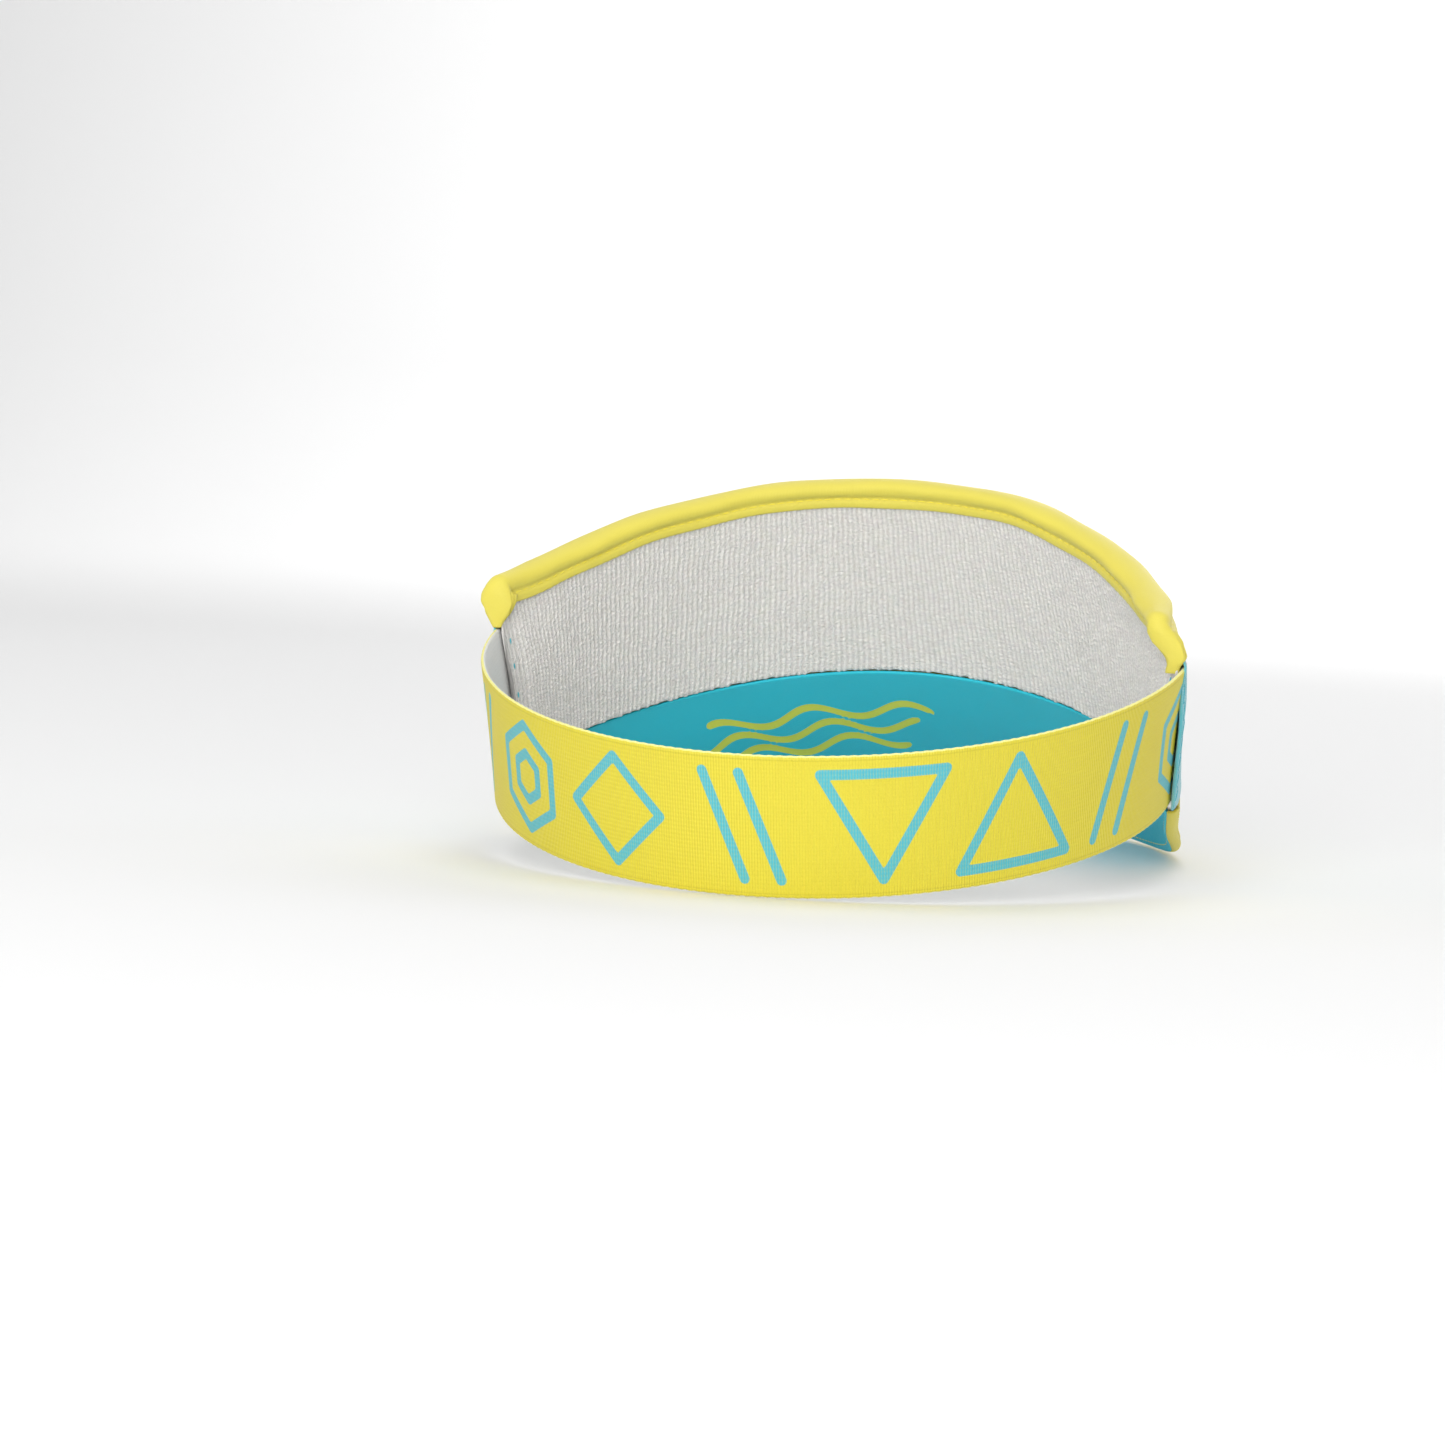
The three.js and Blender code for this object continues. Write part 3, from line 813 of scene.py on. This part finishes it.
crest_turns, crest_heights, crest_swings = [], [], []
for height in np.linspace(binding_tip_height, crown_side_height - binding_corner, 9)[:-1]:
    crest_turns.append(turn_at(-binding_setback))
    crest_heights.append(height)
    crest_swings.append(math.pi / 2)
for swing in np.linspace(math.pi / 2, 0, 13)[:-1]:
    forward = binding_corner * (1 - math.sin(swing)) - binding_setback
    crest_turns.append(turn_at(forward))
    crest_heights.append(crown_side_height - binding_corner * (1 - math.cos(swing)))
    crest_swings.append(swing)
top_turns = front_turns(turn_at(binding_corner - binding_setback), 200)
crest_turns = np.array([*crest_turns, *top_turns, *[math.pi - t for t in crest_turns[::-1]]])
crest_heights = np.array([*crest_heights, *top_edge(top_turns), *crest_heights[::-1]])
crest_swings = np.array([*crest_swings, *(0 * top_turns), *[-s for s in crest_swings[::-1]]])
crest_steps = np.linalg.norm(np.diff(front_of_ring(crest_turns, crest_heights, 0), axis=0), axis=1)
crest_runs = np.concatenate([[0], np.cumsum(crest_steps)])
crest_length = crest_runs[-1]


def binding_course(run, depth, offset):
    """run is measured along the crest, depth from the crest down, offset from the tape's middle."""
    turn = np.interp(run, crest_runs, crest_turns)
    height = np.interp(run, crest_runs, crest_heights)
    swing = np.interp(run, crest_runs, crest_swings)
    from_end = np.minimum(run, crest_length - run)
    narrowed = 0.2 + 0.8 * smooth(from_end, 0, 13)
    at_right = run < crest_length / 2
    narrowest = np.where(at_right, right_tip_width, 0)
    flattened = np.maximum(np.interp(from_end, *end_widths), narrowest)
    plump = 1 + binding_plumpness * wavy(run, 21, (19, 33, 57))
    middle_part = smooth(from_end, 12, 30)
    on_roll = 1 - smooth(depth, crease_depth - 1.4, crease_depth - 0.2)
    stitch = np.cos(2 * math.pi * run / binding_pitch) * 0.5 + 0.5
    at_crease = np.exp(-((depth - crease_depth) / 0.55) ** 2)
    pull = dimple * stitch ** 2 * at_crease * middle_part
    pucker = 0.10 * (stitch - 0.5) * smooth(depth, crease_depth - 2.2, crease_depth) * middle_part
    puffed = np.where(on_roll > 0, 1 + (plump - 1) * on_roll, 1)
    pleats = 0
    for pleat_place, pleat_drift, pleat_reach in end_pleats:
        groove = np.exp(-((depth - pleat_place - pleat_drift * from_end) / pleat_width) ** 2)
        pleats = pleats + groove * smooth(from_end, 0, 3) * (1 - smooth(from_end, 5, pleat_reach))
    wrinkle = 0.1 * np.sin(2 * math.pi * from_end / 5.5 + 0.9 * depth) * (1 - smooth(from_end, 10, 26))
    wide = np.abs(offset) * puffed - pull + pucker - pleat_depth * pleats + wrinkle * on_roll
    side = np.sign(offset) * (wide * flattened)
    deep = depth * narrowed * (1 + 0.05 * wavy(run, 22, (27, 41, 63)) * middle_part)
    sway = binding_sway * wavy(run, 23, (36, 58, 97)) * middle_part
    shift_length = np.where(at_right, right_tip_shift_length, left_tip_shift_length)
    tip_shift = np.where(at_right, right_tip_shift, left_tip_shift)
    tip_shift = tip_shift * (1 - smooth(from_end, 0.5, shift_length))
    tip_drop = np.where(at_right, right_tip_drop, 0) * (1 - smooth(from_end, 0, 6))
    height = height - np.cos(swing) * deep + sway - tip_drop
    turn = turn + np.sin(swing) * deep / ring_front_depth
    return front_of_ring(turn, height, wall_stack_middle + tip_shift + side)


def tape_section(points, thickness):
    """A strip's closed cross-section from its middle line of points, with rounded hems."""
    steps = np.gradient(points, axis=0)
    steps /= np.linalg.norm(steps, axis=1)[:, None]
    aside = np.stack([-steps[:, 1], steps[:, 0]], -1) * thickness / 2
    start_cap = points[:1] - steps[:1] * thickness / 2
    end_cap = points[-1:] + steps[-1:] * thickness / 2
    left, right = points + aside, points - aside
    return np.concatenate([left, end_cap, right[::-1], start_cap, left[:1]])


roll_angles = np.linspace(roll_lowest, math.pi - roll_lowest, 41)
roll_line = np.stack([roll_crown - roll_half_height * np.sin(roll_angles),
                      roll_half_width * np.cos(roll_angles)], -1)
leg_depths = np.array([hem_depth, 6.5, 6.1, 5.75, 5.4, 5.05, crease_depth, 4.4])
leg_widths = np.array([hem_width, 3.88, 3.88, 3.84, 3.72, 3.5, crease_width, 3.4])
leg = np.stack([leg_depths, leg_widths], -1)
tape_line = np.concatenate([leg, roll_line, leg[::-1] * [1, -1]])
tape_profile = tape_section(tape_line, tape_thickness)
binding_stations = np.linspace(0, crest_length, binding_columns + 1)
binding = swept_cloth("top_binding_tape", binding_stations, tape_profile, binding_course)
tape_yellow = dyed(224, 210, 84)
tape_cloth, tape_dye, tape_yarns = dyed_weave(
    "binding_tape", tape_yellow, 0.5, 0.12, 0.4, patches=0.05, flecks=0.05,
    Warp_Pitch=0.4, Weft_Pitch=0.3, Weft_Share=0.4, Unevenness=0.5)
finish_cloth(tape_cloth, tape_dye, tape_yarns["Height"], 0.05)
binding.data.materials.append(tape_cloth)
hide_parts("top_binding")
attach(binding, "crown")

# The binding's stitches lie in the crease under the roll, on both sides, and pull a dimple each.
stitch_radius = 0.24
stitch_reach = 0.42
stitch_margin = 14


def sewn(name, starts, ends, radius):
    """A row of stitches in one piece, each a copy of one plump thread end to end."""
    bpy.ops.mesh.primitive_uv_sphere_add(segments=6, ring_count=6, radius=1)
    pattern = bpy.context.object
    copies = []
    for start, end in zip(in_row(starts), in_row(ends)):
        stitch = pattern.copy()
        stitch.data = pattern.data.copy()
        bpy.context.collection.objects.link(stitch)
        run = Vector(end - start)
        turn = run.to_track_quat("Z", "Y").to_matrix().to_4x4()
        size = Matrix.Diagonal((radius / 1000, radius / 1000, run.length / 2, 1))
        stitch.matrix_world = Matrix.Translation((start + end) / 2) @ turn @ size
        copies.append(stitch)
    bpy.data.objects.remove(pattern)
    for stitch in copies:
        stitch.select_set(True)
    bpy.context.view_layer.objects.active = copies[0]
    bpy.ops.object.join()
    row = bpy.context.object
    row.name = name
    bpy.ops.object.transform_apply(location=True, rotation=True, scale=True)
    bpy.ops.object.shade_smooth()
    return row


def thread_material(name, shade):
    material = cloth_material(name, shade, 0.45, 0.4)
    twist = placed(material, mottle, Map=cloth_map(material), Colour=shade, Patches=0.1, Flecks=0.2)
    finish_cloth(material, twist["Colour"], twist["Colour"], 0.02)
    return material


stitch_runs = np.arange(stitch_margin, crest_length - stitch_margin, binding_pitch)
stitch_runs = np.round(stitch_runs / binding_pitch) * binding_pitch
stitch_depths = np.full(len(stitch_runs), crease_depth)
stitch_starts, stitch_ends = [], []
for stitch_side in (-1, 1):
    offsets = np.full(len(stitch_runs), stitch_side * (crease_width + tape_thickness / 2 - 0.02))
    for share, places in ((-stitch_reach, stitch_starts), (stitch_reach, stitch_ends)):
        runs = stitch_runs + share * binding_pitch
        places.append(binding_course(runs, stitch_depths, offsets))
binding_stitches = sewn("binding_stitches", np.concatenate(stitch_starts), np.concatenate(stitch_ends),
                        stitch_radius)
yellow_thread = thread_material("yellow_thread", dyed(236, 220, 70))
binding_stitches.data.materials.append(yellow_thread)
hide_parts("binding_thread")
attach(binding_stitches, "crown")

# ---------------------------------------------------------------------------------------------
# Side seams. Teal thread closes each seam with a zigzag down the shell's edge, and a few of its
# stitches come through on the inside, at the terry's end.
seam_stitch_count = 15
seam_stitch_width = 1.8
seam_forward = -0.5
seam_thread_radius = 0.2
seam_lowest = 3.0
seam_top_margin = 4.0
inner_stitch_heights = (3.0, 9.5, 17.0, 24.5, 31.0)
inner_stitch_length = 1.6
inner_stitch_offset = -3.3

teal_thread = thread_material("teal_thread", dyed(70, 176, 190))
for side_name, mirrored in (("right", False), ("left", True)):
    steps = np.arange(seam_stitch_count + 1)
    forwards = seam_forward + seam_stitch_width * (steps % 2)
    heights = seam_lowest + (wall_nominal - seam_lowest - seam_top_margin) * steps / seam_stitch_count
    turns = np.arcsin(forwards / ring_front_depth)
    turns = math.pi - turns if mirrored else turns
    places = shell_course(turns, heights, np.full(len(turns), shell_outer + 0.04))
    inner_heights = np.array(inner_stitch_heights)
    inner_turns = np.full(len(inner_heights), turn_at(0.4))
    inner_turns = math.pi - inner_turns if mirrored else inner_turns
    inner_offset = np.full(len(inner_heights), inner_stitch_offset)
    inner_starts = front_of_ring(inner_turns, inner_heights, inner_offset)
    inner_ends = front_of_ring(inner_turns, inner_heights + inner_stitch_length, inner_offset)
    seam = sewn(side_name + "_seam_stitches", np.concatenate([places[:-1], inner_starts]),
                np.concatenate([places[1:], inner_ends]), seam_thread_radius)
    seam.data.materials.append(teal_thread)
    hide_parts(side_name + "_seam_thread")
    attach(seam, "crown")

# ---------------------------------------------------------------------------------------------
# Bill. A bent plastic board between two covers, teal below and yellow above. The yellow cover wraps
# round the rim to meet the teal one, and stitches follow it. Both covers end in the crown's seam.
bill_length = 70.0
bill_slope = math.radians(44.5)
bill_end = math.radians(4)
bill_corner_fullness = 2.15
bill_side_fullness = 2.1
bill_board_thickness = 1.8
bill_cover_thickness = 0.6
bill_stack = 1.8
bill_cover_lift = 1.5
bill_clearance = 0.6
bill_seam_allowance = 4.5
bill_tuck_under = 3.7
bill_narrowing = 0.036
bill_narrowing_reach = 26.0
bill_into_seam = 0.45
edge_round = 0.004
bill_run = np.array([0, math.cos(bill_slope), -math.sin(bill_slope)])
nudge = 1e-4


def bill_root(turn):
    front = np.maximum(np.sin(turn), 0)
    return np.stack([
        (half_width_at(0) + wall_middle) * np.cos(turn),
        (ring_front_depth + wall_middle) * np.sin(turn),
        lower_edge(turn) - bill_clearance - bill_stack * front,
    ], -1)


def root_tangent(turn):
    return (bill_root(turn + nudge) - bill_root(turn - nudge)) / (2 * nudge)


def unit(vectors):
    return vectors / np.linalg.norm(vectors, axis=-1, keepdims=True)


def bill_normal(turn):
    return unit(np.cross(bill_run, root_tangent(turn)))


def turn_across(spread):
    """The ring's turn at a share of the bill's half width: 1 at its right end, -1 at its left."""
    return math.pi / 2 - (math.pi / 2 - bill_end) * spread


def rim_place(sweep):
    cosine = np.cos(sweep)
    spread = np.sign(cosine) * np.abs(cosine) ** (2 / bill_side_fullness)
    reach = bill_length * np.sin(sweep) ** (2 / bill_corner_fullness)
    return turn_across(spread), reach


def bill_surface(turn, reach):
    return bill_root(turn) + bill_run * np.asarray(reach)[..., None]


def inset_place(sweep, inset):
    """The place inset from the rim, square to it, along the bill's bent surface."""
    turn, reach = rim_place(sweep)
    along_rim = bill_surface(*rim_place(sweep + nudge)) - bill_surface(*rim_place(sweep - nudge))
    outward = unit(np.cross(along_rim, bill_normal(turn)))
    tangent = root_tangent(turn)
    slant = tangent @ bill_run
    sideways = tangent - slant[..., None] * bill_run
    turn_step = (outward * sideways).sum(-1) / (sideways ** 2).sum(-1)
    reach_step = outward @ bill_run - turn_step * slant
    return turn - inset * turn_step, reach - inset * reach_step


def bill_place(sweep, forward, lift, inset):
    root_turn = turn_across(np.cos(sweep))
    rim_turn, rim_reach = inset_place(sweep, inset)
    out = np.maximum(forward, 0)
    turn = root_turn + (rim_turn - root_turn) * out
    on_bill = bill_surface(turn, rim_reach * out) + bill_normal(turn) * np.asarray(lift)[..., None]
    tucked = np.maximum(-forward, 0)
    root_height = bill_root(turn)[..., 2] + tucked * bill_seam_allowance
    in_seam = front_of_ring(turn, root_height, wall_middle + 0.5 * lift)
    into_seam = smooth(tucked, 0, bill_into_seam)[..., None]
    top_side = on_bill * (1 - into_seam) + in_seam * into_seam
    under_side = on_bill - bill_run * (bill_tuck_under * np.sin(turn) * tucked)[..., None]
    place = np.where(np.asarray(lift)[..., None] < 0, under_side, top_side)
    place[..., 0] *= 1 - bill_narrowing * smooth(rim_reach * out, 0, bill_narrowing_reach)
    return place


def bill_course(body_inset, ripple=0.0):
    """A sheet's course. Codes up to 0 count back from its outer edge: -1 is the root, and below
    that the seam allowance. Codes above 0 are insets from the rim in millimetres."""
    def course(sweep, code, lift):
        forward = np.where(code <= 0, 1 + code, 1.0)
        inset = np.where(code <= 0, body_inset, code)
        belly = np.clip(forward, 0, 1) * np.clip(1.02 - forward, 0, 1) * 4
        wave = ripple * belly * wavy(sweep * 60 + 14 * forward, 31, (17, 29, 43))
        return bill_place(sweep, forward, lift + wave, inset)
    return course


bill_shortest = 6.8
shortest_sweep = math.asin((bill_shortest / bill_length) ** (bill_corner_fullness / 2))
bill_sweeps = np.linspace(shortest_sweep, math.pi - shortest_sweep, 241)


def flat_loop(codes, outer_lift, inner_lift):
    """A sheet's closed cross-section: out along one face and back along the other."""
    middle = (outer_lift + inner_lift) / 2
    out = np.stack([codes, np.full(len(codes), outer_lift)], -1)
    back = np.stack([codes[::-1], np.full(len(codes), inner_lift)], -1)
    return np.concatenate([out, [[codes[-1], middle]], back, [[codes[0] - edge_round, middle]], out[:1]])


board_half = bill_board_thickness / 2
board_inset = 1.4
board_profile = flat_loop(np.linspace(-0.95, 0, 17), board_half, -board_half)
board = swept_cloth("bill_board_plastic", bill_sweeps[::4], board_profile, bill_course(board_inset))
board_white = dyed(240, 240, 236)
plastic = cloth_material("bill_board_plastic", board_white, 0.4, 0.0)
mould = placed(plastic, mottle, Map=cloth_map(plastic), Colour=board_white, Patches=0.02, Flecks=0.03)
finish_cloth(plastic, mould["Colour"], mould["Colour"], 0.03)
board.data.materials.append(plastic)
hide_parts("bill_board")

allowance_codes = np.array([-2.0, -1.75, -1.55, -1.4, -1.25, -1.12])
cover_half = bill_cover_thickness / 2
face_codes = np.concatenate([allowance_codes, np.linspace(-1, 0, 61)[:-1], [-nudge]])


def cover_section(angles):
    """A cover's closed cross-section: along its face, then round the rim through these angles, which
    are measured from the top face's end round to the under face's end."""
    paths = []
    side = 1 if angles[0] < math.pi / 2 else -1
    for radius in (bill_cover_lift + cover_half, bill_cover_lift - cover_half):
        face = np.stack([face_codes, np.full(len(face_codes), side * radius)], -1)
        curl = np.stack([bill_stack - radius * np.sin(angles), radius * np.cos(angles)], -1)
        paths.append(np.concatenate([face, curl]))
    outer, inner = paths
    root = (outer[:1] + inner[:1]) / 2 - [[edge_round, 0]]
    return np.concatenate([outer, (outer[-1:] + inner[-1:]) / 2, inner[::-1], root, outer[:1]])


rim_seam = math.radians(128)
under_profile = cover_section(np.linspace(math.pi - 0.05, rim_seam + 0.06, 7))
wave_stripe_length = 62.0
wave_stripe_width = 3.6
wave_stripe_gap = 8.5
wave_stripe_swing = 3.4
wave_stripe_period = 27.0
wave_stripe_centre = (34.0, 25.0)
wave_stripe_count = 3
wave_stripe_lag = 4.0
wave_stripe_slip = 5.0


def under_print(column, row):
    """How far each point is outside the printed wave stripes, negative inside them."""
    sweep = bill_sweeps[column]
    forward = np.where(under_profile[row, 0] > 0, 1, np.clip(1 + under_profile[row, 0], 0, 1))
    root_turn = turn_across(np.cos(sweep))
    rim_turn, rim_reach = inset_place(sweep, bill_stack)
    turn = root_turn + (rim_turn - root_turn) * forward
    place_x = (turn - math.pi / 2) * ring_half_width - wave_stripe_centre[0]
    place_y = rim_reach * forward - wave_stripe_centre[1]
    nearest = np.full(len(place_x), np.inf)
    for stripe in range(wave_stripe_count):
        shift = stripe - (wave_stripe_count - 1) / 2
        phase = 2 * math.pi * (place_x + wave_stripe_lag * shift) / wave_stripe_period
        line = shift * wave_stripe_gap + wave_stripe_swing * np.sin(phase)
        along = np.abs(place_x - wave_stripe_slip * shift)
        beyond = np.maximum(along - wave_stripe_length / 2, 0)
        nearest = np.minimum(nearest, np.hypot(place_y - line, beyond) - wave_stripe_width / 2)
    on_face = under_profile[row, 1] < -bill_cover_lift
    return np.where(on_face, nearest, wave_stripe_gap)


under = swept_cloth("bill_under_cloth", bill_sweeps, under_profile, bill_course(bill_stack, 0.12),
                    {"print_edge": under_print})
under_teal = dyed(50, 200, 220)
under_ink = dyed(226, 228, 84)
under_cloth, under_dye, under_yarns = dyed_weave(
    "bill_under_fabric", under_teal, 0.5, 0.03, patches=0.07, **fine_yarn)
stripe_edge = surface_mark(under_cloth, "print_edge")
ink = placed(under_cloth, screen_print, Edge=stripe_edge, Softness=0.2)["Ink"]
under_printed = mixed(under_cloth.node_tree, ink, under_dye, under_ink)
finish_cloth(under_cloth, under_printed, under_yarns["Height"], 0.06)
under.data.materials.append(under_cloth)
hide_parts("bill_under_cover")

rim_radius = bill_cover_lift + cover_half
top_profile = cover_section(np.linspace(0.05, rim_seam - 0.02, 13))
top_cover = swept_cloth("bill_top_cloth", bill_sweeps, top_profile, bill_course(bill_stack, 0.10))
cover_yellow = dyed(220, 206, 70)
top_cloth, top_dye, top_yarns = dyed_weave("bill_top_fabric", cover_yellow, 0.5, 0.1, **fine_yarn)
finish_cloth(top_cloth, top_dye, top_yarns["Height"], 0.06)
top_cover.data.materials.append(top_cloth)
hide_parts("bill_top_cover")

edge_pitch = 2.6
edge_stitch_inset = 2.7
edge_stitch_radius = 0.2
edge_stitch_reach = 0.4
rim_sweeps = np.linspace(shortest_sweep + 0.02, math.pi - shortest_sweep - 0.02, 2000)
rim_line = bill_place(rim_sweeps, 1.0 + 0 * rim_sweeps, 0 * rim_sweeps, edge_stitch_inset)
rim_runs = np.concatenate([[0], np.cumsum(np.linalg.norm(np.diff(rim_line, axis=0), axis=1))])
edge_runs = np.arange(2, rim_runs[-1] - 2, edge_pitch)
edge_starts, edge_ends = [], []
for face_lift in (-rim_radius + 0.08, rim_radius + 0.03):
    lifts = np.full(len(edge_runs), face_lift)
    for share, places in ((-edge_stitch_reach, edge_starts), (edge_stitch_reach, edge_ends)):
        sweeps = np.interp(edge_runs + share * edge_pitch, rim_runs, rim_sweeps)
        places.append(bill_place(sweeps, 1.0 + 0 * sweeps, lifts, edge_stitch_inset))
edge_stitches = sewn("bill_edge_stitches", np.concatenate(edge_starts), np.concatenate(edge_ends),
                     edge_stitch_radius)
edge_stitches.data.materials.append(yellow_thread)
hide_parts("bill_edge_thread")

for bill_piece in (board, under, top_cover, edge_stitches):
    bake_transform(bill_piece)

# The seam that joins crown, lining and bill is sewn inside the crown's lower edge.
seam_height = 2.8
seam_radius = 0.3
seam_stitches = 85
seam_turns = front_turns(interlining_end, seam_stitches)
seam_heights = lower_edge(seam_turns) + seam_height
seam_line = front_of_ring(seam_turns, seam_heights, np.full(len(seam_turns), wall_middle))
bill_seam = sewn("bill_seam_stitches", seam_line[:-1], seam_line[1:], seam_radius)
bill_seam.data.materials.append(thread_material("white_thread", dyed(235, 235, 230)))
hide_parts("bill_seam_thread")
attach(bill_seam, "crown")
